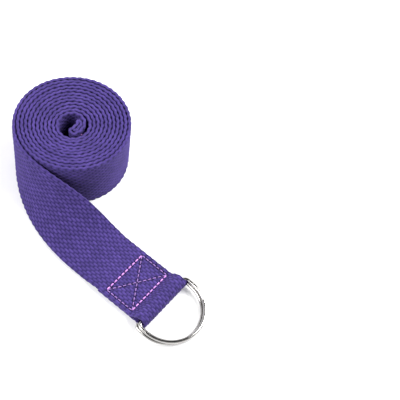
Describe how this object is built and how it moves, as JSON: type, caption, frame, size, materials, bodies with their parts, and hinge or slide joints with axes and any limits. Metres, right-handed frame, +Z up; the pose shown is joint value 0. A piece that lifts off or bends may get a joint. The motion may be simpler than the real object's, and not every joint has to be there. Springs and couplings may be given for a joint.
{
  "type": "stretching strap",
  "caption": "Woven cotton exercise strap, rolled up on its edge, with its sewn end lying flat and folded round a pair of D-rings that work as a cinch buckle.",
  "frame": {"origin": "middle of the whole strap's box, on the table it lies on", "axes": "+Z up from the table, +Y from the D-rings towards the roll along the strap's longest side, +X to the side the D-rings lie towards"},
  "size_m": [0.1176, 0.1754, 0.0381],
  "materials": {
    "webbing": "purple plain-woven cotton webbing, matt",
    "thread": "lilac polyester sewing thread",
    "ring": "polished nickel-plated steel wire"
  },
  "bodies": {
    "strap": {"webbing_roll": "webbing", "webbing_hem": "webbing", "webbing_tail": "webbing", "webbing_loop": "webbing", "box_needle_thread": "thread", "box_bobbin_thread": "thread", "hem_needle_thread": "thread", "hem_bobbin_thread": "thread"},
    "lower_ring": {"d_ring_lower": "ring"},
    "upper_ring": {"d_ring_upper": "ring"}
  },
  "joints": [
    {"name": "lower_ring_swing", "type": "hinge", "parent": "strap", "child": "lower_ring", "pos_m": [0.02978, -0.06017, 0.00345], "axis": [-0.6947, -0.7193, 0], "range_deg": [0, 65]},
    {"name": "upper_ring_swing", "type": "hinge", "parent": "lower_ring", "child": "upper_ring", "pos_m": [0.03127, -0.06035, 0.00595], "axis": [-0.6947, -0.7193, 0], "range_deg": [0, 80]}
  ]
}
